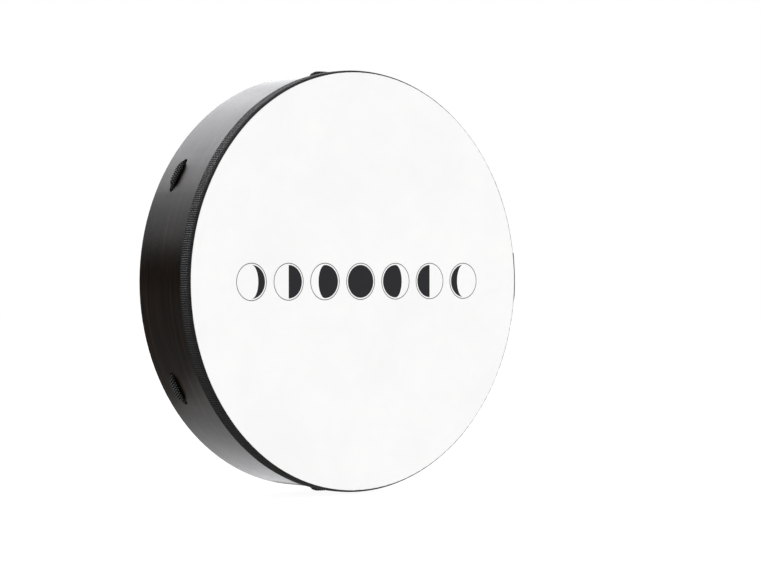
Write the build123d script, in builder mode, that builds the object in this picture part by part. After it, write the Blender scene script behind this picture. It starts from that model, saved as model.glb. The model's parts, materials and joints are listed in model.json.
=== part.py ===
from build123d import *
from math import cos, degrees, pi, radians, sin
import os

# An upright frame drum. Its axis is Y, its head faces -Y, and its open back faces +Y.
# The origin is the centre of the rope hand grip, on the drum's axis and in the plane of the rope holes.

# Shell
shell_outer_radius = 228.6
shell_depth = 96.3
shell_thickness = 8.0
veneer_thickness = 0.8
rear_edge_y = 30.0
front_edge_y = rear_edge_y - shell_depth
front_edge_radius = 0.4
front_bevel_drop = 2.0
rear_outer_radius = 3.0
rear_inner_radius = 1.5

# Bearing hoop, glued inside the shell behind the head
hoop_thickness = 8.0
hoop_depth = 14.0
hoop_setback = 3.0
hoop_edge_radius = 2.0

# Drum head
head_thickness = 0.5
head_skirt = 16.0

# Rim webbing, laid over the head's skirt, with its front edge worn down to a bevel
webbing_width = 17.0
webbing_thickness = 2.1
webbing_setback = 0.4
webbing_bevel_width = 3.6
webbing_bevel_height = 1.5
webbing_edge_radius = 0.5
glue_line = 0.05
lap_thickness = 1.75
lap_setback = 2.6
lap_bevel_width = 1.6
lap_bevel_height = 1.15
lap_angle = 1.7
lap_length = 50.0

# Rope holes: six pairs round the shell
strop_count = 6
first_strop_angle = 30.0
hole_half_angle = 4.2
rope_hole_radius = 3.1
hole_rim_radius = 3.8

# Rope strops
rope_radius = 2.5
rope_outer_corner = 3.4
rope_hole_margin = 3.5
rope_corner_radius = 4.4
leg_half_gap = 2.9
rope_end_gap = 0.6

# Hand grip: a steel ring wound with cord, and a whipping on each strop beside it
ring_radius = 38.0
ring_core_radius = 3.0
ring_wrap_radius = 5.5
rope_clearance = 0.3
whipping_start = 66.0
whipping_length = 18.0
whipping_thickness = 1.6
whipping_clearance = 0.05
leg_run_out = 4.0

shell_inner_radius = shell_outer_radius - shell_thickness
head_front_y = front_edge_y - head_thickness
skirt_radius = shell_outer_radius + head_thickness
webbing_inner_radius = skirt_radius + glue_line
webbing_outer_radius = webbing_inner_radius + webbing_thickness
webbing_front_y = head_front_y + webbing_setback
webbing_rear_y = webbing_front_y + webbing_width
lap_inner_radius = webbing_outer_radius - webbing_edge_radius
lap_outer_radius = webbing_outer_radius + lap_thickness
lap_front_y = webbing_front_y + lap_setback
strop_angles = [first_strop_angle + i * 360 / strop_count for i in range(strop_count)]


def radial(angle):
    """The unit vector that points outwards at an angle round the drum, counted from +X towards +Z."""
    return Vector(cos(radians(angle)), 0, sin(radians(angle)))


def spoke_plane(angle):
    """A plane whose x runs outwards at the angle, y along the drum's axis, and z round the drum."""
    return Plane(origin=(0, 0, 0), x_dir=radial(angle), z_dir=radial(angle + 90))


def facing_plane(angle, distance):
    """A plane that faces outwards at the angle, at a distance from the axis, with its x along the axis."""
    return Plane(origin=radial(angle) * distance, x_dir=(0, 1, 0), z_dir=radial(angle))


# Shell: its section, with a bevelled front edge and a rounded rear edge, is shared by the three plies
front_corner = (shell_outer_radius - front_edge_radius, front_edge_y)
front_side = (shell_outer_radius, front_edge_y + front_edge_radius)
rear_side = (shell_outer_radius, rear_edge_y - rear_outer_radius)
rear_corner = (shell_outer_radius - rear_outer_radius, rear_edge_y)
rear_inner_corner = (shell_inner_radius + rear_inner_radius, rear_edge_y)
rear_inner_side = (shell_inner_radius, rear_edge_y - rear_inner_radius)
front_inner_side = (shell_inner_radius, front_edge_y + front_bevel_drop)
with BuildSketch(Plane.XY) as shell_section:
    with BuildLine():
        Line(front_inner_side, front_corner)
        RadiusArc(front_corner, front_side, -front_edge_radius)
        Line(front_side, rear_side)
        RadiusArc(rear_side, rear_corner, -rear_outer_radius)
        Line(rear_corner, rear_inner_corner)
        RadiusArc(rear_inner_corner, rear_inner_side, -rear_inner_radius)
        Line(rear_inner_side, front_inner_side)
    make_face()

outer_glue_radius = shell_outer_radius - veneer_thickness
inner_glue_radius = shell_inner_radius + veneer_thickness
plies = {
    "shell_outer_veneer": (outer_glue_radius, shell_outer_radius + shell_thickness),
    "shell_core": (inner_glue_radius, outer_glue_radius),
    "shell_inner_veneer": (shell_inner_radius - shell_thickness, inner_glue_radius),
}
hole_planes = [
    facing_plane(angle + side * hole_half_angle, shell_outer_radius)
    for angle in strop_angles
    for side in (-1, 1)
]
pieces = {}
for label, (ply_inner, ply_outer) in plies.items():
    with BuildPart() as ply:
        revolve(shell_section.sketch, axis=Axis.Y)
        with BuildSketch(Plane.XZ.offset(-rear_edge_y)):
            Circle(ply_outer)
            Circle(ply_inner, mode=Mode.SUBTRACT)
        extrude(amount=shell_depth, mode=Mode.INTERSECT)
        with Locations(*hole_planes):
            CounterSinkHole(
                radius=rope_hole_radius,
                counter_sink_radius=hole_rim_radius,
                counter_sink_angle=90,
                depth=2 * shell_thickness,
            )
    pieces[label] = ply

# Bearing hoop
with BuildPart() as bearing_hoop:
    with BuildSketch(Plane.XY):
        with Locations((shell_inner_radius, front_edge_y + hoop_setback)):
            Rectangle(hoop_thickness, hoop_depth, align=(Align.MAX, Align.MIN))
        fillet(vertices().group_by(Axis.X)[0], hoop_edge_radius)
    revolve(axis=Axis.Y)

# Drum head: a flat skin that turns over the shell's front edge and runs down its outside
with BuildPart() as drum_head:
    with BuildSketch(Plane.XY):
        with BuildLine():
            Line((0, head_front_y), (shell_outer_radius - front_edge_radius, head_front_y))
            RadiusArc(
                (shell_outer_radius - front_edge_radius, head_front_y),
                (skirt_radius, front_edge_y + front_edge_radius),
                -(front_edge_radius + head_thickness),
            )
            Polyline(
                (skirt_radius, front_edge_y + front_edge_radius),
                (skirt_radius, head_front_y + head_skirt),
                (shell_outer_radius, head_front_y + head_skirt),
                (shell_outer_radius, front_edge_y + front_edge_radius),
            )
            RadiusArc(
                (shell_outer_radius, front_edge_y + front_edge_radius),
                (shell_outer_radius - front_edge_radius, front_edge_y),
                front_edge_radius,
            )
            Polyline(
                (shell_outer_radius - front_edge_radius, front_edge_y),
                (0, front_edge_y),
                (0, head_front_y),
            )
        make_face()
    revolve(axis=Axis.Y)

# Rim webbing: one strip round the front edge, its end lapped over its start
lap_span = degrees(lap_length / webbing_outer_radius)
with BuildPart() as rim_webbing:
    with BuildSketch(Plane.XY):
        with BuildLine():
            Polyline(
                (webbing_inner_radius, webbing_front_y),
                (webbing_outer_radius - webbing_bevel_height, webbing_front_y),
                (webbing_outer_radius, webbing_front_y + webbing_bevel_width),
                (webbing_outer_radius, webbing_rear_y),
                (webbing_inner_radius, webbing_rear_y),
                close=True,
            )
        make_face()
        fillet(vertices().group_by(Axis.X)[-1], webbing_edge_radius)
    revolve(axis=Axis.Y)
    with BuildSketch(Plane.XY.rotated((0, -(lap_angle - lap_span / 2), 0))):
        with BuildLine():
            Polyline(
                (lap_inner_radius, lap_front_y),
                (lap_outer_radius - lap_bevel_height, lap_front_y),
                (lap_outer_radius, lap_front_y + lap_bevel_width),
                (lap_outer_radius, webbing_rear_y),
                (lap_inner_radius, webbing_rear_y),
                close=True,
            )
        make_face()
        fillet(vertices().group_by(Axis.X)[-1], webbing_edge_radius)
    revolve(axis=Axis.Y, revolution_arc=-lap_span)

# Hand grip: the steel ring and the cord wound round it
with BuildPart() as grip_ring_core:
    with BuildSketch(Plane.XY):
        with Locations((ring_radius, 0)):
            Circle(ring_core_radius)
    revolve(axis=Axis.Y)

with BuildPart() as grip_ring_wrap:
    with BuildSketch(Plane.XY):
        with Locations((ring_radius, 0)):
            Circle(ring_wrap_radius)
            Circle(ring_core_radius, mode=Mode.SUBTRACT)
    revolve(axis=Axis.Y)

# Rope strops, in the axes of a spoke plane: outwards, along the drum's axis, round the drum.
# Each starts under its whipping, turns round the grip ring, runs out through one hole, over the
# outside of the shell, in through the other hole, and back to where it started.
turn_half_gap = ring_wrap_radius + rope_radius + rope_clearance
turn_inner = ring_radius - turn_half_gap
turn_outer = ring_radius + 2
joint_x = whipping_start + whipping_length / 2
run_in = whipping_start - leg_run_out
run_out = whipping_start + whipping_length + leg_run_out
mouth_radius = shell_inner_radius - rope_hole_margin
over_radius = shell_outer_radius + rope_outer_corner


def round_spoke(distance, side):
    """A point on a hole's own axis, beside the spoke, at a distance from the drum's axis."""
    half_angle = radians(hole_half_angle)
    return (distance * cos(half_angle), 0, side * distance * sin(half_angle))


strop_route = [
    (joint_x, -leg_half_gap, 0),
    (run_in, -leg_half_gap, 0),
    (turn_outer, -turn_half_gap, 0),
    (turn_inner, -turn_half_gap, 0),
    (turn_inner, turn_half_gap, 0),
    (turn_outer, turn_half_gap, 0),
    (run_in, leg_half_gap, 0),
    (run_out, leg_half_gap, 0),
    round_spoke(mouth_radius, 1),
    round_spoke(over_radius, 1),
    round_spoke(over_radius, -1),
    round_spoke(mouth_radius, -1),
    (run_out, -leg_half_gap, 0),
    (joint_x + rope_end_gap, -leg_half_gap, 0),
]
turn_radius = turn_half_gap - 0.1
strop_radii = [
    25,
    15,
    turn_radius,
    turn_radius,
    15,
    25,
    40,
    60,
    rope_corner_radius,
    rope_corner_radius,
    60,
    40,
]

for number, angle in enumerate(strop_angles, start=1):
    with BuildPart() as rope_strop:
        with BuildLine(spoke_plane(angle)) as strop_path:
            FilletPolyline(*strop_route, radius=strop_radii)
        with BuildSketch(Plane(origin=strop_path.line @ 0, z_dir=strop_path.line % 0)):
            Circle(rope_radius)
        sweep()
    pieces[f"rope_strop_{number}"] = rope_strop

strop_length = strop_path.wires()[0].length
print("strop length", round(strop_length, 1), "volume", round(rope_strop.part.volume))
print("section times length", round(strop_length * pi * rope_radius**2), "radii", strop_radii)

# Strop whippings: a binding round each strop's two legs
whipping_radius = rope_radius + whipping_thickness
for number, angle in enumerate(strop_angles, start=1):
    with BuildPart() as strop_whipping:
        with BuildSketch(facing_plane(angle, whipping_start)):
            SlotCenterToCenter(2 * leg_half_gap, 2 * whipping_radius)
            with Locations((-leg_half_gap, 0), (leg_half_gap, 0)):
                Circle(rope_radius + whipping_clearance, mode=Mode.SUBTRACT)
        extrude(amount=whipping_length)
    pieces[f"strop_whipping_{number}"] = strop_whipping

# Files
pieces["bearing_hoop"] = bearing_hoop
pieces["drum_head"] = drum_head
pieces["rim_webbing"] = rim_webbing
pieces["grip_ring_core"] = grip_ring_core
pieces["grip_ring_wrap"] = grip_ring_wrap
os.makedirs("parts", exist_ok=True)
for label, piece in pieces.items():
    piece.part.label = label
    export_step(piece.part, f"parts/{label}.step")
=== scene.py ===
"""An upright frame drum on its CAD frame, with braided ropes, wound cord, ribbed webbing and a printed head."""
import json
from math import cos, pi, radians, sin, tan

import bpy
import numpy as np
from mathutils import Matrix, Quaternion, Vector

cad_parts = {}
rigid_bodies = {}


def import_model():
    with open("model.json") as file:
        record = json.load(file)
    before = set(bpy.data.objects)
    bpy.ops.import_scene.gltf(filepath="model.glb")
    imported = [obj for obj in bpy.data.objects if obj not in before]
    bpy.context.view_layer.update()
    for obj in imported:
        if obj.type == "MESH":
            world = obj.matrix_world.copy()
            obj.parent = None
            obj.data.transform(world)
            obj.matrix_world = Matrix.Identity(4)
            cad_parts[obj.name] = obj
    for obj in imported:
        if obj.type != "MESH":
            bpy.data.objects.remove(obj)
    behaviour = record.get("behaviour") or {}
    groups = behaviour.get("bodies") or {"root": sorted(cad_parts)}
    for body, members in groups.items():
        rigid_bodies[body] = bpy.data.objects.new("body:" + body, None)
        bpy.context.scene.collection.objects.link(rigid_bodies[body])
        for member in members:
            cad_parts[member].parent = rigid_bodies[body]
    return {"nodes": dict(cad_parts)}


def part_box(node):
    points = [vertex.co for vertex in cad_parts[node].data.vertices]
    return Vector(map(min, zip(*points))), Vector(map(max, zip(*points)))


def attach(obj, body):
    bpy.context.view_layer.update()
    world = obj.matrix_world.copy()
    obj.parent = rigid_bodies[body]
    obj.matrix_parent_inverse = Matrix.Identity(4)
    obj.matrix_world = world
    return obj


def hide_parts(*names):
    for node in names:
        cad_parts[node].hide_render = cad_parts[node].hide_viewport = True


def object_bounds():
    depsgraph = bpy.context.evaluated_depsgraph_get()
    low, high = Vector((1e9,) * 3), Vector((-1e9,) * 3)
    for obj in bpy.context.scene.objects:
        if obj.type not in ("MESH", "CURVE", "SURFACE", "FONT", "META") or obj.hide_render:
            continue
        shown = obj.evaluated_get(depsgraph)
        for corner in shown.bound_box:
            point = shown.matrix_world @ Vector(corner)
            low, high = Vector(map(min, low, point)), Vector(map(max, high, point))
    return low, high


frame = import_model()
nodes = frame["nodes"]
cad_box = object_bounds()
scene = bpy.context.scene
MM = 0.001

# Sizes of the drum, from the frame
HEAD_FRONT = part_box("drum_head")[0].y
SHELL_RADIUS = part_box("shell_outer_veneer")[1].x
BOTTOM = cad_box[0].z


# ---------------------------------------------------------------- camera
CAMERA_AZIMUTH = -39.445
CAMERA_ELEVATION = 0.364
CAMERA_DISTANCE = 3.015
CAMERA_LENS = 129.86
AIM_RIGHT = 0.02234
AIM_UP = 0.0004
SENSOR_WIDTH = 36
CLIP_NEAR = 0.1
CLIP_FAR = 100


def make_camera():
    """Looks at the head from its left, slightly above, with a long lens."""
    azimuth = radians(CAMERA_AZIMUTH)
    elevation = radians(CAMERA_ELEVATION)
    back = Vector((sin(azimuth) * cos(elevation), -cos(azimuth) * cos(elevation), sin(elevation)))
    right = Vector((0, 0, 1)).cross(back).normalized()
    up = back.cross(right)
    head_centre = Vector((0, HEAD_FRONT, 0))
    aim = head_centre + right * AIM_RIGHT + up * AIM_UP
    place = head_centre + back * CAMERA_DISTANCE
    data = bpy.data.cameras.new("camera")
    data.sensor_width = SENSOR_WIDTH
    data.lens = CAMERA_LENS
    data.clip_start = CLIP_NEAR
    data.clip_end = CLIP_FAR
    camera = bpy.data.objects.new("camera", data)
    camera.location = place
    camera.rotation_mode = "QUATERNION"
    camera.rotation_quaternion = (aim - place).to_track_quat("-Z", "Y")
    scene.collection.objects.link(camera)
    scene.camera = camera


make_camera()


# ---------------------------------------------------------------- materials
class Shader:
    """A node material, with short calls for the nodes that it needs."""

    def __init__(self, name):
        self.material = bpy.data.materials.new(name)
        self.material.use_nodes = True
        self.tree = self.material.node_tree
        self.surface = self.tree.nodes["Principled BSDF"]
        self.place = self.node("TexCoord").outputs["Object"]

    def node(self, kind, inputs=(), **settings):
        node = self.tree.nodes.new("ShaderNode" + kind)
        for key, value in settings.items():
            setattr(node, key, value)
        for socket, value in dict(inputs).items():
            self.join(node.inputs[socket], value)
        return node

    def join(self, socket, value):
        if isinstance(value, bpy.types.NodeSocket):
            self.tree.links.new(value, socket)
        else:
            socket.default_value = value

    def math(self, operation, first, second=0.0):
        node = self.node("Math", {0: first, 1: second}, operation=operation)
        return node.outputs[0]

    def split(self, vector):
        return self.node("SeparateXYZ", {0: vector}).outputs

    def merge(self, x, y, z=0.0):
        return self.node("CombineXYZ", {0: x, 1: y, 2: z}).outputs[0]

    def scaled(self, vector, scale):
        return self.node("VectorMath", {0: vector, 1: scale}, operation="MULTIPLY").outputs[0]

    def noise(self, vector, scale, detail=4.0, roughness=0.55, distortion=0.0):
        inputs = {"Vector": vector, "Scale": scale, "Detail": detail, "Roughness": roughness}
        inputs["Distortion"] = distortion
        return self.node("TexNoise", inputs).outputs[0]

    def ramp(self, factor, *stops):
        """A colour ramp; each stop is (position, colour)."""
        node = self.node("ValToRGB", {0: factor})
        points = node.color_ramp.elements
        while len(points) < len(stops):
            points.new(0.5)
        for point, (position, colour) in zip(points, stops):
            point.position = position
            point.color = (*colour, 1.0)
        return node.outputs[0]

    def span(self, value, low, high, to_low, to_high):
        inputs = {"Value": value, "From Min": low, "From Max": high, "To Min": to_low, "To Max": to_high}
        return self.node("MapRange", inputs).outputs[0]

    def mix(self, factor, first, second, blend="MIX"):
        node = self.node("Mix", data_type="RGBA", blend_type=blend)
        self.join(node.inputs[0], factor)
        self.join(node.inputs[6], first if isinstance(first, bpy.types.NodeSocket) else (*first, 1.0))
        self.join(node.inputs[7], second if isinstance(second, bpy.types.NodeSocket) else (*second, 1.0))
        return node.outputs[2]

    def bump(self, height, distance, strength=1.0):
        return self.node("Bump", {"Height": height, "Distance": distance, "Strength": strength}).outputs[0]

    def crown(self):
        """The weight of the painted highlight at a point, from 0 to 1, highest where it stands up on its strand
        or rib.
        """
        return self.node("Attribute", attribute_name="crown").outputs["Fac"]

    def finish(self, colour, roughness, normal=None, **sockets):
        self.join(self.surface.inputs["Base Color"], colour)
        self.join(self.surface.inputs["Roughness"], roughness)
        if normal is not None:
            self.join(self.surface.inputs["Normal"], normal)
        for name, value in sockets.items():
            self.surface.inputs[name.replace("_", " ")].default_value = value
        return self.material


def round_the_drum(shader):
    """The way round the drum, in metres, counted from its right side, and the way along its axis."""
    x, y, z = shader.split(shader.place)
    angle = shader.math("ARCTAN2", shader.math("MULTIPLY", z, -1.0), shader.math("MULTIPLY", x, -1.0))
    return shader.math("MULTIPLY", angle, SHELL_RADIUS), y


SEAM_OFFSET = 0.004
SEAM_SLOPE = 0.35
PLY_THICKNESS = 0.0026


def stained_wood(name, dark, light, streak, roughness, seam, ior, relief=0.5, grain=26.0):
    """Bent wood with its grain round the drum, fine open pores, and a glued scarf seam at the right side."""
    shader = Shader(name)
    along, across = round_the_drum(shader)
    grain_place = shader.merge(along, shader.math("MULTIPLY", across, grain))
    figure = shader.noise(grain_place, 7.0, 5.0, 0.6, 0.6)
    fibre_place = shader.merge(shader.math("MULTIPLY", along, 12.0), shader.math("MULTIPLY", across, 620.0))
    fibre = shader.noise(fibre_place, 1.6, 3.0, 0.6)
    pore_place = shader.merge(shader.math("MULTIPLY", along, 90.0), shader.math("MULTIPLY", across, 1500.0))
    pore = shader.noise(pore_place, 1.0, 2.0, 0.5)
    pores = shader.span(pore, 0.60, 0.72, 0.0, 1.0)
    base = shader.ramp(figure, (0.34, dark), (0.55, light), (0.74, streak))
    fibred = shader.mix(shader.span(fibre, 0.35, 0.7, 0.0, 0.55), base, dark)
    pored = shader.mix(shader.math("MULTIPLY", pores, 0.7), fibred, tuple(0.35 * c for c in dark))
    slope = shader.math("SUBTRACT", along, shader.math("MULTIPLY", across, SEAM_SLOPE))
    far_round = pi * SHELL_RADIUS - SEAM_OFFSET
    near_seam = shader.math("SUBTRACT", shader.math("ABSOLUTE", slope), far_round)
    seam_line = shader.span(shader.math("ABSOLUTE", near_seam), 0.0001, 0.0005, seam, 0.0)
    colour = shader.mix(seam_line, pored, (0.003, 0.0025, 0.002))
    worn = shader.noise(shader.place, 9.0, 3.0, 0.6)
    gloss = shader.math("ADD", shader.span(worn, 0.3, 0.7, roughness - 0.035, roughness + 0.035),
                        shader.math("MULTIPLY", pores, 0.12))
    depth = shader.math("ADD", shader.math("MULTIPLY", pores, -1.0), shader.math("MULTIPLY", fibre, 0.35))
    normal = shader.bump(depth, 0.00006, relief)
    return shader.finish(colour, gloss, normal, IOR=ior)


def ply_edge(name):
    """The shell's rear edge: thin glued plies, stained, that show as rings round the axis."""
    shader = Shader(name)
    x, y, z = shader.split(shader.place)
    squared = shader.math("ADD", shader.math("MULTIPLY", x, x), shader.math("MULTIPLY", z, z))
    radius = shader.math("SQRT", squared)
    wave = shader.math("SINE", shader.math("MULTIPLY", radius, 2 * pi / PLY_THICKNESS))
    along, across = round_the_drum(shader)
    fibre_along = shader.math("MULTIPLY", along, 40.0)
    fibre_place = shader.merge(fibre_along, shader.math("MULTIPLY", radius, 900.0), across)
    fibre = shader.noise(fibre_place, 1.5, 4.0, 0.6)
    layer = shader.span(wave, -0.35, 0.35, 0.0, 1.0)
    ply = shader.ramp(layer, (0.0, (0.013, 0.009, 0.007)), (1.0, (0.036, 0.023, 0.015)))
    colour = shader.mix(shader.span(fibre, 0.35, 0.7, 0.0, 0.7), ply, (0.008, 0.006, 0.005))
    normal = shader.bump(shader.math("ADD", fibre, shader.math("MULTIPLY", wave, 0.15)), 0.0001, 0.6)
    return shader.finish(colour, shader.span(fibre, 0.3, 0.7, 0.42, 0.6), normal, IOR=1.4)


def drum_skin(name):
    """A near-white synthetic skin with a faint cloudy mottle and fine short fibres."""
    shader = Shader(name)
    cloud = shader.noise(shader.place, 11.0, 5.0, 0.62, 0.4)
    patch = shader.noise(shader.scaled(shader.place, (1.0, 1.0, 1.7)), 42.0, 4.0, 0.6)
    fibre = shader.noise(shader.scaled(shader.place, (1.0, 1.0, 0.22)), 900.0, 3.0, 0.6)
    base = shader.ramp(cloud, (0.3, (0.835, 0.835, 0.832)), (0.55, (0.865, 0.865, 0.862)),
                       (0.75, (0.88, 0.878, 0.873)))
    toned = shader.mix(shader.span(patch, 0.35, 0.7, 0.0, 0.5), base, (0.84, 0.843, 0.844))
    height = shader.math("ADD", shader.math("MULTIPLY", fibre, 0.5), patch)
    normal = shader.bump(height, 0.00012, 0.35)
    return shader.finish(toned, shader.span(patch, 0.3, 0.7, 0.5, 0.62), normal, IOR=1.45)


def ink(name, colour):
    """Printed ink, slightly uneven."""
    shader = Shader(name)
    uneven = shader.noise(shader.place, 260.0, 4.0, 0.65)
    faded = tuple(1.5 * c + 0.004 for c in colour)
    tone = shader.mix(shader.span(uneven, 0.3, 0.75, 0.0, 0.35), colour, faded)
    normal = shader.bump(uneven, 0.00005, 0.3)
    return shader.finish(tone, shader.span(uneven, 0.3, 0.7, 0.42, 0.55), normal, IOR=1.3)


def yarn(name, valley, crest_highlight, scale, roughness, specular, peak):
    """Matt black yarn, near-black, with a painted highlight greying the crowns of its strands or ribs, and fine
    fibres.
    """
    shader = Shader(name)
    fibre = shader.noise(shader.place, scale, 5.0, 0.7)
    # Random patches that dim the painted highlight on the crowns.
    highlight_patches = shader.noise(shader.place, scale * 0.06, 3.0, 0.6)
    raised = shader.math("POWER", shader.crown(), peak)
    lit = shader.math("MULTIPLY", raised, shader.span(highlight_patches, 0.3, 0.7, 0.55, 1.0))
    uneven = shader.math("MULTIPLY", lit, shader.span(fibre, 0.3, 0.7, 0.6, 1.0))
    # The crest colour is a painted highlight, mixed in by the crown weight.
    colour = shader.mix(uneven, valley, crest_highlight)
    normal = shader.bump(fibre, 0.00018, 0.6)
    return shader.finish(colour, shader.span(fibre, 0.3, 0.7, roughness - 0.08, roughness + 0.08), normal,
                         IOR=1.45, Specular_IOR_Level=specular)


def plain_steel(name):
    """Drawn steel rod, brushed round its section."""
    shader = Shader(name)
    scratch = shader.noise(shader.scaled(shader.place, (300.0, 2500.0, 300.0)), 1.0, 3.0)
    colour = shader.ramp(scratch, (0.3, (0.42, 0.42, 0.43)), (0.7, (0.6, 0.6, 0.61)))
    normal = shader.bump(scratch, 0.00003, 0.5)
    return shader.finish(colour, shader.span(scratch, 0.3, 0.7, 0.28, 0.45), normal, Metallic=1.0)


FLOOR_GLOW = 0.95


def pale_floor(name):
    """A plain white floor with a faint glow of its own, so that it stays white at the drum's foot."""
    shader = Shader(name)
    cloud = shader.noise(shader.place, 1.5, 2.0)
    colour = shader.ramp(cloud, (0.3, (0.11, 0.11, 0.11)), (0.7, (0.13, 0.13, 0.13)))
    shader.join(shader.surface.inputs["Emission Color"], (1.0, 1.0, 1.0, 1.0))
    shader.surface.inputs["Emission Strength"].default_value = FLOOR_GLOW
    return shader.finish(colour, 0.9)


outer_wood = stained_wood("stained_veneer", (0.0006, 0.0004, 0.0003), (0.0046, 0.0024, 0.0010),
                          (0.0300, 0.0140, 0.0055), 0.32, 0.8, 1.10, relief=0.02, grain=70.0)
inner_wood = stained_wood("inner_veneer", (0.030, 0.017, 0.010), (0.058, 0.034, 0.020),
                          (0.086, 0.051, 0.030), 0.5, 0.7, 1.4)
hoop_wood = stained_wood("hoop_wood", (0.024, 0.014, 0.009), (0.044, 0.027, 0.017),
                         (0.07, 0.042, 0.026), 0.5, 0.0, 1.4)
plies = ply_edge("stained_plies")
skin = drum_skin("skin")
# Each yarn's crest colour is a painted highlight on the crowns of its strands or ribs.
webbing_cloth = yarn("webbing", (0.0008, 0.0008, 0.0008), (0.050, 0.050, 0.0504), 1500.0, 0.65, 0.08, 1.7)
rope_yarn = yarn("rope", (0.0006, 0.0006, 0.0006), (0.34, 0.34, 0.342), 1400.0, 0.7, 0.03, 5.0)
whipping_yarn = yarn("whipping_cord", (0.003, 0.003, 0.0031), (0.050, 0.050, 0.051), 1600.0, 0.6, 0.3, 2.0)
steel = plain_steel("ring_steel")
dark_ink = ink("dark_ink", (0.006, 0.006, 0.009))
line_ink = ink("line_ink", (0.05, 0.05, 0.053))


def dress(name, material):
    """Gives a CAD node its finished material."""
    mesh = nodes[name].data
    mesh.materials.clear()
    mesh.materials.append(material)


dress("shell_outer_veneer", outer_wood)
dress("shell_core", plies)
dress("shell_inner_veneer", inner_wood)
dress("bearing_hoop", hoop_wood)
dress("drum_head", skin)
dress("grip_ring_core", steel)


# ---------------------------------------------------------------- mesh helpers
def make_piece(name, vertices, faces, material, smooth=True, crown=None):
    mesh = bpy.data.meshes.new(name)
    mesh.from_pydata([tuple(v) for v in vertices], [], faces)
    mesh.polygons.foreach_set("use_smooth", [smooth] * len(mesh.polygons))
    if crown is not None:
        values = mesh.attributes.new("crown", "FLOAT", "POINT").data
        values.foreach_set("value", np.ascontiguousarray(crown, np.float32))
    mesh.materials.append(material)
    mesh.update()
    piece = bpy.data.objects.new(name, mesh)
    scene.collection.objects.link(piece)
    return piece


def skin_rings(rings, closed_along=False, first=0):
    """Faces between the rings of a tube; rings is an array of (ring, point, xyz)."""
    count, around = rings.shape[:2]
    ring_index = np.arange(count if closed_along else count - 1)
    point_index = np.arange(around)
    a, b = np.meshgrid(ring_index, point_index, indexing="ij")
    next_a = (a + 1) % count
    next_b = (b + 1) % around
    quads = np.stack([a * around + b, a * around + next_b, next_a * around + next_b, next_a * around + b], -1)
    faces = (quads.reshape(-1, 4) + first).tolist()
    if not closed_along:
        faces.append([first + i for i in reversed(range(around))])
        faces.append([first + (count - 1) * around + i for i in range(around)])
    return faces


def unit(vectors):
    return vectors / np.linalg.norm(vectors, axis=-1, keepdims=True)


def cord_rings(points, outward, half_width, half_height, sides):
    """Elliptic rings along a strand: half_height along its outward direction, half_width across it."""
    along = unit(np.gradient(points, axis=0))
    outward = unit(outward - along * np.sum(outward * along, axis=1, keepdims=True))
    across = np.cross(along, outward)
    angles = np.arange(sides) * 2 * pi / sides
    width = np.broadcast_to(half_width, len(points))[:, None, None]
    height = np.broadcast_to(half_height, len(points))[:, None, None]
    return (points[:, None, :]
            + outward[:, None, :] * np.cos(angles)[None, :, None] * height
            + across[:, None, :] * np.sin(angles)[None, :, None] * width)


class Bundle:
    """Collects closed tubes into one piece."""

    def __init__(self):
        self.vertices = []
        self.crowns = []
        self.faces = []
        self.count = 0

    def add(self, rings, crown, closed_along=False):
        """Adds a tube; crown gives each of its points the weight of its painted highlight, from 0 to 1, highest
        where it stands up.
        """
        self.faces += skin_rings(rings, closed_along, self.count)
        self.vertices.append(rings.reshape(-1, 3))
        self.crowns.append(np.broadcast_to(crown, rings.shape[:2]).reshape(-1))
        self.count += rings.shape[0] * rings.shape[1]

    def piece(self, name, material):
        crown = np.clip(np.concatenate(self.crowns), 0.0, 1.0)
        return make_piece(name, np.concatenate(self.vertices), self.faces, material, crown=crown)


def spoke_axes(angle):
    """Columns that turn (outwards, along the axis, round the drum) into the frame's x, y, z."""
    a = radians(angle)
    return np.array([[cos(a), 0, -sin(a)], [0, 1, 0], [sin(a), 0, cos(a)]])


STROP_COUNT = 6
FIRST_STROP = 30
STROP_ANGLES = [FIRST_STROP + 360 // STROP_COUNT * i for i in range(STROP_COUNT)]

# ---------------------------------------------------------------- rope strops
# The route of one strop, in mm: outwards, along the drum's axis, round the drum. The second half mirrors the
# first.
HALF_ROUTE = [
    (29.6, 0.0, 0.0),
    (29.6, 8.4, 0.0),
    (40.0, 8.4, 0.0),
    (62.0, 2.9, 0.0),
    (88.0, 2.9, 0.0),
    (102.0, 2.65, 1.6),
    (204.0, 0.3, 14.4),
    (216.2, 0.0, 15.7),
    (224.5, 0.0, 16.2),
    (229.1, 0.0, 16.5),
    (230.4, 0.0, 12.6),
    (231.25, 0.0, 7.5),
    (231.25, 0.0, 0.0),
]
ROPE_RADIUS = 2.5
HOLE_RADIUS = 1.75
BULGE_HALF_WIDTH = 4.4
BULGE_HALF_HEIGHT = 2.65
BULGE_REACHES = (13.2, 14.2)
STRAND_COUNT = 8
STRAND_STEP = 0.5
STRAND_SIDES = 6
BRAID_LEAD = 12.0
STRAND_HALF_HEIGHT = 0.6
OVER_UNDER = 0.45
# Where the rope widens from the hole's size to its own, in mm from the middle of its outside loop
WIDEN_START = 34.0
WIDEN_LENGTH = 12.0
# How blunt the flattened part is along the rope, and how quickly it ends
SWELL_BLUNT = 4.5
SWELL_END = 0.7
CORE_SIDES = 10
CORE_SINK = 1.2
STRAND_FILL = 0.46


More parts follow.
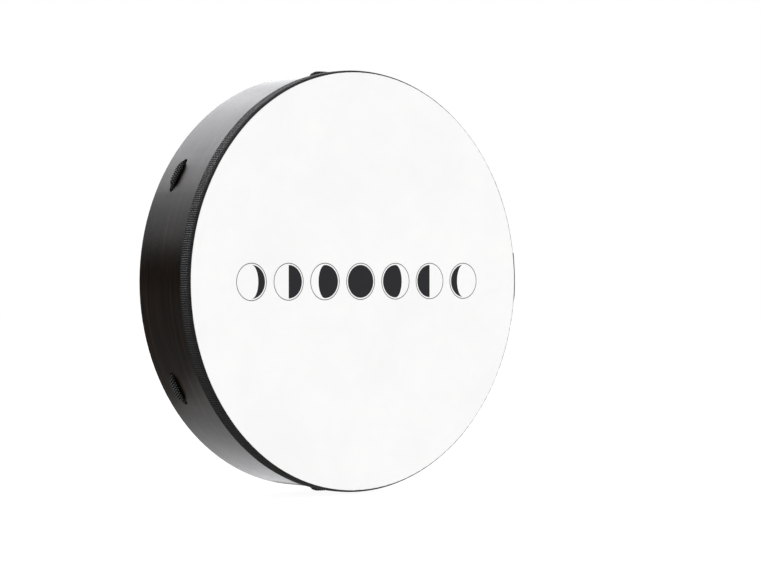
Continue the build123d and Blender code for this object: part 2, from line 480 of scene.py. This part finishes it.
def nurbs_line(points):
    """Points along a smooth NURBS curve through a list of control points."""
    data = bpy.data.curves.new("route", "CURVE")
    data.dimensions = "3D"
    data.resolution_u = 40
    spline = data.splines.new("NURBS")
    spline.points.add(len(points) - 1)
    for control, place in zip(spline.points, points):
        control.co = (*place, 1.0)
    spline.order_u = 3
    spline.use_endpoint_u = True
    holder = bpy.data.objects.new("route", data)
    mesh = bpy.data.meshes.new_from_object(holder)
    line = np.array([v.co for v in mesh.vertices], float)
    bpy.data.meshes.remove(mesh)
    bpy.data.objects.remove(holder)
    bpy.data.curves.remove(data)
    return line


def even_steps(line, step):
    """The same line with its points evenly spaced, and their distances along it."""
    run = np.concatenate([[0.0], np.cumsum(np.linalg.norm(np.diff(line, axis=0), axis=1))])
    places = np.linspace(0.0, run[-1], int(run[-1] / step) + 1)
    return np.stack([np.interp(places, run, line[:, i]) for i in range(3)], axis=1), places


def carried_frame(line, start_outward):
    """Outward directions carried along a line without twist."""
    along = unit(np.gradient(line, axis=0))
    outward = np.empty_like(line)
    outward[0] = start_outward
    for i in range(1, len(line)):
        carried = outward[i - 1] - along[i] * (outward[i - 1] @ along[i])
        outward[i] = carried / np.linalg.norm(carried)
    return outward, np.cross(along, outward)


def strop_line():
    """The strop's centre line from the middle of its outside loop, both ways, in spoke axes."""
    there = HALF_ROUTE[::-1]
    back = [(x, -y, -z) for x, y, z in HALF_ROUTE[1:-1]]
    half, distance = even_steps(nurbs_line(there), STRAND_STEP)
    other, _ = even_steps(nurbs_line([there[0], *back[::-1], there[-1]]), STRAND_STEP)
    return half, other, distance


def braid(bundle, line, distance, outward, side, axes, bulge_reach):
    """Adds the strands of a round braid, which flattens where the rope lies on the shell."""
    reach = np.clip(distance / bulge_reach, 0.0, 1.0)
    swell = np.maximum(0.0, 1.0 - reach ** SWELL_BLUNT) ** SWELL_END
    past_hole = np.clip((distance - WIDEN_START) / WIDEN_LENGTH, 0.0, 1.0)
    plain = HOLE_RADIUS + (ROPE_RADIUS - HOLE_RADIUS) * past_hole
    half_width = plain + (BULGE_HALF_WIDTH - plain) * swell
    half_height = plain + (BULGE_HALF_HEIGHT - plain) * swell
    turns = 2 * pi * distance / BRAID_LEAD
    pairs = STRAND_COUNT // 2
    strand_half_width = STRAND_FILL * pi * (half_width + half_height) / pairs * 0.5
    sink = STRAND_HALF_HEIGHT + OVER_UNDER
    core_angles = np.arange(CORE_SIDES) * 2 * pi / CORE_SIDES
    core_height = (half_height - CORE_SINK * sink)[:, None]
    core_width = (half_width - CORE_SINK * sink)[:, None]
    core_out = outward[:, None, :] * (np.cos(core_angles)[None, :] * core_height)[:, :, None]
    core_side = side[:, None, :] * (np.sin(core_angles)[None, :] * core_width)[:, :, None]
    bundle.add(((line[:, None, :] + core_out + core_side) @ axes.T) * MM, 0.0)
    round_strand = np.cos(np.arange(STRAND_SIDES) * 2 * pi / STRAND_SIDES)
    for hand in (1, -1):
        over = hand * np.cos(pairs * turns)
        lift = OVER_UNDER * over
        for k in range(pairs):
            angle = hand * turns + 2 * pi * k / pairs
            reach_out = (half_height - sink + lift)[:, None]
            reach_side = (half_width - sink + lift)[:, None]
            away = outward * np.cos(angle)[:, None] * reach_out + side * np.sin(angle)[:, None] * reach_side
            face = (outward * (np.cos(angle) / half_height)[:, None]
                    + side * (np.sin(angle) / half_width)[:, None])
            rings = cord_rings(line + away, unit(face), strand_half_width, STRAND_HALF_HEIGHT, STRAND_SIDES)
            # A painted highlight on each strand's outer side, stronger where the strand crosses over.
            crown = (0.5 + 0.5 * over)[:, None] * np.clip(round_strand, 0.0, 1.0)[None, :]
            bundle.add((rings @ axes.T) * MM, crown)


def make_strops():
    half, other, distance = strop_line()
    for number, angle in enumerate(STROP_ANGLES, start=1):
        axes = spoke_axes(angle)
        bundle = Bundle()
        for line, bulge_reach in zip((half, other), BULGE_REACHES):
            outward, side = carried_frame(line, np.array([1.0, 0.0, 0.0]))
            braid(bundle, line, distance[: len(line)], outward, side, axes, bulge_reach)
        rope = bundle.piece(f"braided_strop_{number}", rope_yarn)
        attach(rope, "root")
        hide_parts(f"rope_strop_{number}")


make_strops()


# ---------------------------------------------------------------- wound cord
def laid_cord(points, outward, radius, lay, sides=9, grooves=3, depth=0.14):
    """A twisted cord: its section has one lobe for each strand, and turns as it goes along."""
    along = unit(np.gradient(points, axis=0))
    outward = unit(outward - along * np.sum(outward * along, axis=1, keepdims=True))
    across = np.cross(along, outward)
    run = np.concatenate([[0.0], np.cumsum(np.linalg.norm(np.diff(points, axis=0), axis=1))])
    turn = 2 * pi * run / lay
    angles = np.arange(sides) * 2 * pi / sides
    lobes = radius * (1 - depth + depth * np.cos(grooves * (angles[None, :] - turn[:, None])))
    return (points[:, None, :]
            + outward[:, None, :] * (np.cos(angles)[None, :] * lobes)[:, :, None]
            + across[:, None, :] * (np.sin(angles)[None, :] * lobes)[:, :, None])


def cord_crown(sides):
    """The painted highlight of a wound cord: strongest on the side that faces outwards."""
    return np.clip(np.cos(np.arange(sides) * 2 * pi / sides), 0.0, 1.0)[None, :]


RING_RADIUS = 38.0
RING_CORE_RADIUS = 3.0
WRAP_CORD_RADIUS = 1.22
WRAP_TURNS = 86
WRAP_STEPS = 22


def make_ring_wrap():
    """Cord wound turn by turn round the grip ring, as one closed winding."""
    count = WRAP_TURNS * WRAP_STEPS
    t = np.arange(count) / count
    round_ring = 2 * pi * t
    round_rod = 2 * pi * WRAP_TURNS * t
    uneven = 0.06 * np.sin(round_ring * 7.0 + 0.8) + 0.05 * np.sin(round_ring * 17.0)
    winding = RING_CORE_RADIUS + WRAP_CORD_RADIUS + uneven
    spoke = np.stack([np.cos(round_ring), np.zeros(count), np.sin(round_ring)], axis=1)
    out = spoke * np.cos(round_rod)[:, None]
    out[:, 1] = np.sin(round_rod)
    points = spoke * RING_RADIUS + out * winding[:, None]
    bundle = Bundle()
    rings = laid_cord(points, out, WRAP_CORD_RADIUS, 6.5, sides=9)
    bundle.add(rings * MM, cord_crown(9))
    wrap = bundle.piece("ring_winding", whipping_yarn)
    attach(wrap, "root")
    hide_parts("grip_ring_wrap")


make_ring_wrap()

WHIPPING_START = 66.0
WHIPPING_LENGTH = 18.0
LEG_HALF_GAP = 2.9
WHIPPING_CORD_RADIUS = 0.9
WHIPPING_TURNS = 9
WHIPPING_STEPS = 44


def slot_outline(angle, half_gap, radius):
    """A point on a slot-shaped outline and its outward direction, by the angle gone round it."""
    straight = 2 * half_gap
    arc = pi * radius
    whole = 2 * (straight + arc)
    run = (angle / (2 * pi)) % 1.0 * whole
    if run < straight:
        return (run - half_gap, radius), (0.0, 1.0)
    if run < straight + arc:
        bend = pi / 2 - (run - straight) / radius
        return (half_gap + radius * cos(bend), radius * sin(bend)), (cos(bend), sin(bend))
    if run < 2 * straight + arc:
        return (half_gap - (run - straight - arc), -radius), (0.0, -1.0)
    bend = -pi / 2 - (run - 2 * straight - arc) / radius
    return (-half_gap + radius * cos(bend), radius * sin(bend)), (cos(bend), sin(bend))


def make_whippings():
    """Thin cord wound tightly round the two legs of each strop."""
    count = WHIPPING_TURNS * WHIPPING_STEPS
    radius = ROPE_RADIUS + 0.15 + WHIPPING_CORD_RADIUS
    points = np.empty((count, 3))
    outward = np.empty((count, 3))
    margin = WHIPPING_CORD_RADIUS
    for i in range(count):
        turn = i / (count - 1)
        (y, z), (oy, oz) = slot_outline(2 * pi * WHIPPING_TURNS * turn, LEG_HALF_GAP, radius)
        x = WHIPPING_START + margin + turn * (WHIPPING_LENGTH - 2 * margin)
        points[i] = (x, y, z)
        outward[i] = (0.0, oy, oz)
    rings = laid_cord(points, outward, WHIPPING_CORD_RADIUS, 5.0, sides=8)
    for number, angle in enumerate(STROP_ANGLES, start=1):
        bundle = Bundle()
        bundle.add((rings @ spoke_axes(angle).T) * MM, cord_crown(8))
        whipping = bundle.piece(f"wound_whipping_{number}", whipping_yarn)
        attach(whipping, "root")
        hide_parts(f"strop_whipping_{number}")


make_whippings()

# ---------------------------------------------------------------- rim webbing
WEBBING_INNER = 229.15
WEBBING_THICKNESS = 2.1
WEBBING_SETBACK = 0.4
LAP_START = -4.5
LAP_END = 7.9
LAP_RISE = 1.6
LAP_THICKNESS = 1.75
LAP_SETBACK = 1.0
RIB_COUNT = 600
RIB_STEPS = 8
RIB_HEIGHT = 0.75
# The strip's section, from its inner rear corner round to its outer rear corner: the way along the axis from
# the front edge, the height over the strip's inner face, both in mm, how far it stands up as a rib, and how
# strong the painted highlight on the rib is there. It is raised on the front bevel, where less lamp light
# falls, and nil at the rear edge, which leaves a painted shadow line there.
WEBBING_SECTION = np.array([
    (16.8, 0.0, 0.0, 0.0),
    (8.5, 0.0, 0.0, 0.0),
    (0.2, 0.0, 0.0, 0.0),
    (0.0, 0.04, 0.0, 0.6),
    (0.3, 0.22, 0.0, 0.9),
    (1.0, 0.62, 0.1, 1.0),
    (1.8, 1.05, 0.15, 1.0),
    (2.6, 1.5, 0.25, 1.0),
    (3.4, 1.88, 0.7, 0.95),
    (4.2, 2.1, 1.0, 0.55),
    (5.2, 2.1, 1.0, 0.78),
    (7.5, 2.1, 1.0, 0.8),
    (8.5, 2.02, 0.85, 0.55),
    (9.5, 2.1, 1.0, 0.8),
    (14.2, 2.1, 1.0, 0.78),
    (15.2, 2.1, 0.9, 0.6),
    (15.8, 2.08, 0.15, 0.0),
    (16.6, 1.9, 0.0, 0.0),
    (17.0, 1.5, 0.0, 0.0),
    (17.0, 0.3, 0.0, 0.0),
])


def make_webbing():
    """One ribbed strip, whose end climbs over its start at the drum's right side."""
    along, height, stands, rib_highlight = WEBBING_SECTION.T
    span = 360.0 + LAP_END - LAP_START
    count = int(RIB_COUNT * RIB_STEPS * span / 360.0)
    turn = np.linspace(0.0, span, count)
    climb = np.clip((turn - (360.0 - LAP_RISE)) / LAP_RISE, 0.0, 1.0)
    climb = climb * climb * (3 - 2 * climb)
    angle = np.radians(LAP_START + turn)
    rib = np.abs(np.sin(turn / 360.0 * RIB_COUNT * pi))
    flat_rib = rib[:, None] ** 0.8
    lower = RIB_HEIGHT * (1 - flat_rib) * stands[None, :] * (height > 0.4)[None, :]
    thick = height[None, :] * (1 - climb[:, None] * (1 - LAP_THICKNESS / WEBBING_THICKNESS))
    radius = WEBBING_INNER + 0.05 + climb[:, None] * (WEBBING_THICKNESS - 0.1) + thick - lower
    scallop = 0.35 * (1 - flat_rib)
    edge = np.where(along < 1.0, 1.0, 0.0) - np.where(along > 16.4, 1.0, 0.0)
    sway = 0.10 * np.sin(angle * 9.0 + 1.0) + 0.07 * np.sin(angle * 23.0)
    setback = LAP_SETBACK * climb[:, None] * np.clip(1 - along / 8.5, 0.0, 1.0)[None, :]
    front = HEAD_FRONT / MM + WEBBING_SETBACK
    y = front + along[None, :] + setback + scallop * edge[None, :] + sway[:, None]
    x = radius * np.cos(angle)[:, None]
    z = radius * np.sin(angle)[:, None]
    bundle = Bundle()
    # The painted highlight on the rib crests, scaled by the section's last column.
    crown = rib[:, None] ** 2.0 * rib_highlight[None, :]
    bundle.add(np.stack([x, y, z], axis=2) * MM, crown)
    webbing = bundle.piece("ribbed_webbing", webbing_cloth)
    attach(webbing, "root")
    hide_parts("rim_webbing")


make_webbing()

# ---------------------------------------------------------------- head print
# A plain almanac chart of the moon's phases: seven equal moons in a level row, evenly spaced and centred on
# the head. Its sizes, in mm, are the chart's own.
MOON_RADIUS = 18.0
MOON_PITCH = 50.0
OUTLINE_GAP = 1.5
OUTLINE_WIDTH = 0.8
MOON_STEPS = 48
# Where each moon's terminator lies, as a share of its radius: 0.5 is a crescent, 0 a half moon and -1 a full
# moon.
TERMINATORS = (0.5, 0.0, -0.5, -1.0, -0.5, 0.0, 0.5)
INK_SINK = 0.02
INK_HEIGHT = 0.05
TIP_WIDTH = 0.0001


class Print:
    """Thin closed plates of ink on the head's front face."""

    def __init__(self):
        self.vertices = []
        self.faces = []

    def strip(self, left, right, closed=False):
        """A band of quads between two lists of (u, v) points, u to the right and v up."""
        count = len(left)
        first = len(self.vertices)
        back = HEAD_FRONT + INK_SINK * MM
        front = HEAD_FRONT - INK_HEIGHT * MM
        for pair in zip(left, right):
            for u, v in pair:
                self.vertices += [(u * MM, front, v * MM), (u * MM, back, v * MM)]
        for i in range(count if closed else count - 1):
            a = first + 4 * i
            b = first + 4 * ((i + 1) % count)
            self.faces += [(a, a + 2, b + 2, b), (a + 1, b + 1, b + 3, a + 3),
                           (a, b, b + 1, a + 1), (a + 2, a + 3, b + 3, b + 2)]
        if not closed:
            last = first + 4 * (count - 1)
            self.faces += [(first, first + 1, first + 3, first + 2), (last, last + 2, last + 3, last + 1)]

    def ring(self, u, inner, outer):
        """A thin circle round a moon."""
        angles = [2 * pi * i / (2 * MOON_STEPS) for i in range(2 * MOON_STEPS)]
        self.strip([(u + inner * cos(a), inner * sin(a)) for a in angles],
                   [(u + outer * cos(a), outer * sin(a)) for a in angles], closed=True)

    def phase(self, u, terminator, side):
        """The inked part of a moon, between its limb on one side and its terminator, a half ellipse."""
        left, right = [], []
        for i in range(MOON_STEPS + 1):
            a = -pi / 2 + pi * i / MOON_STEPS
            reach = MOON_RADIUS * cos(a)
            ends = sorted((side * reach, side * terminator * reach))
            left.append((u + ends[0] - TIP_WIDTH, MOON_RADIUS * sin(a)))
            right.append((u + ends[1] + TIP_WIDTH, MOON_RADIUS * sin(a)))
        self.strip(left, right)

    def piece(self, name, material):
        printed = make_piece(name, self.vertices, self.faces, material, smooth=False)
        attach(printed, "root")


def make_print():
    """Waxing moons to the left of the full one, waning moons to its right."""
    dark, line = Print(), Print()
    middle = len(TERMINATORS) // 2
    for number, terminator in enumerate(TERMINATORS):
        u = (number - middle) * MOON_PITCH
        dark.phase(u, terminator, 1 if number < middle else -1)
        line.ring(u, MOON_RADIUS + OUTLINE_GAP, MOON_RADIUS + OUTLINE_GAP + OUTLINE_WIDTH)
    dark.piece("printed_moons", dark_ink)
    line.piece("printed_lines", line_ink)


make_print()


# ---------------------------------------------------------------- floor, light and world
FLOOR_RADIUS = 9.0
FLOOR_SIDES = 24
LIGHT_COLOUR = (0.96, 0.967, 1.0)


def make_floor():
    """A plain pale disc of floor at the drum's lowest point."""
    angles = [2 * pi * i / FLOOR_SIDES for i in range(FLOOR_SIDES)]
    vertices = [(FLOOR_RADIUS * cos(a), FLOOR_RADIUS * sin(a), BOTTOM) for a in angles]
    floor = make_piece("floor", vertices, [tuple(range(FLOOR_SIDES))], pale_floor("pale_floor"), smooth=False)


def lit_pieces(name, pieces):
    """A collection of the pieces that a softbox lights."""
    lit = bpy.data.collections.new(name)
    for piece in pieces:
        lit.objects.link(piece)
    return lit


def softbox(name, lit, place, target, width, height, radiance, spread, roll=0.0):
    """A gridded softbox, out of the camera's sight, that lights only the pieces in its collection.

    radiance is what it shows along its own axis, and spread is its beam's whole angle in degrees.
    """
    data = bpy.data.lights.new(name, "AREA")
    data.shape = "RECTANGLE"
    data.size = width
    data.size_y = height
    data.spread = radians(spread)
    half = radians(spread) / 2
    gain = tan(half) / (tan(half) - half) if spread < 180 else 1.0
    data.energy = radiance * pi * width * height / gain
    data.color = LIGHT_COLOUR
    light = bpy.data.objects.new(name, data)
    light.location = place
    light.rotation_mode = "QUATERNION"
    aim = (Vector(target) - Vector(place)).to_track_quat("-Z", "Y")
    light.rotation_quaternion = aim @ Quaternion((0, 0, 1), radians(roll))
    light.visible_camera = False
    light.light_linking.receiver_collection = lit
    scene.collection.objects.link(light)


DARK_SIDE = (-0.80, 0.60, 0.02)
DARK_EDGE = 46
DARK_MIDDLE = 24
DARK_LEVEL = 0.02
WORLD_WHITE = 1.1


def make_world():
    """A white studio all round, with a dark flag behind the drum's left side that only reflections show."""
    world = bpy.data.worlds.new("studio")
    scene.world = world
    world.use_nodes = True
    tree = world.node_tree
    background = tree.nodes["Background"]
    place = tree.nodes.new("ShaderNodeTexCoord").outputs["Generated"]
    facing = tree.nodes.new("ShaderNodeVectorMath")
    facing.operation = "DOT_PRODUCT"
    tree.links.new(place, facing.inputs[0])
    facing.inputs[1].default_value = Vector(DARK_SIDE).normalized()
    shade = tree.nodes.new("ShaderNodeMapRange")
    shade.interpolation_type = "SMOOTHSTEP"
    tree.links.new(facing.outputs["Value"], shade.inputs["Value"])
    shade.inputs["From Min"].default_value = cos(radians(DARK_EDGE))
    shade.inputs["From Max"].default_value = cos(radians(DARK_MIDDLE))
    shade.inputs["To Min"].default_value = WORLD_WHITE
    shade.inputs["To Max"].default_value = DARK_LEVEL
    tree.links.new(shade.outputs["Result"], background.inputs["Color"])
    backdrop = tree.nodes.new("ShaderNodeBackground")
    backdrop.inputs["Color"].default_value = (1.0, 1.0, 1.0, 1.0)
    seen = tree.nodes.new("ShaderNodeLightPath").outputs["Is Camera Ray"]
    either = tree.nodes.new("ShaderNodeMixShader")
    tree.links.new(seen, either.inputs[0])
    tree.links.new(background.outputs[0], either.inputs[1])
    tree.links.new(backdrop.outputs[0], either.inputs[2])
    tree.links.new(either.outputs[0], tree.nodes["World Output"].inputs["Surface"])


make_floor()
shell_only = lit_pieces("shell_only", [nodes["shell_outer_veneer"]])
outside_names = ["ribbed_webbing"] + [f"braided_strop_{i}" for i in range(1, STROP_COUNT + 1)]
outside = lit_pieces("outside", [nodes["shell_outer_veneer"]] + [bpy.data.objects[n] for n in outside_names])
softbox("rear_top", outside, (-0.40, 1.69, 1.36), (-0.1, 0.0, 0.05), 2.7, 1.0, 20.5, 80, roll=15)
softbox("rear_left", outside, (-1.34, 1.68, 0.90), (-0.22, 0.0, 0.07), 0.85, 0.8, 11.5, 90)
softbox("rear_right", outside, (1.02, 1.69, 0.95), (0.0, 0.0, 0.1), 0.9, 0.9, 5.6, 100)
softbox("floor_panel", shell_only, (-0.20, 0.075, BOTTOM + 0.003), (-0.20, 0.075, 1.0), 0.32, 0.17, 3.5, 180)
make_world()
scene.view_settings.view_transform = "Standard"
scene.view_settings.look = "None"
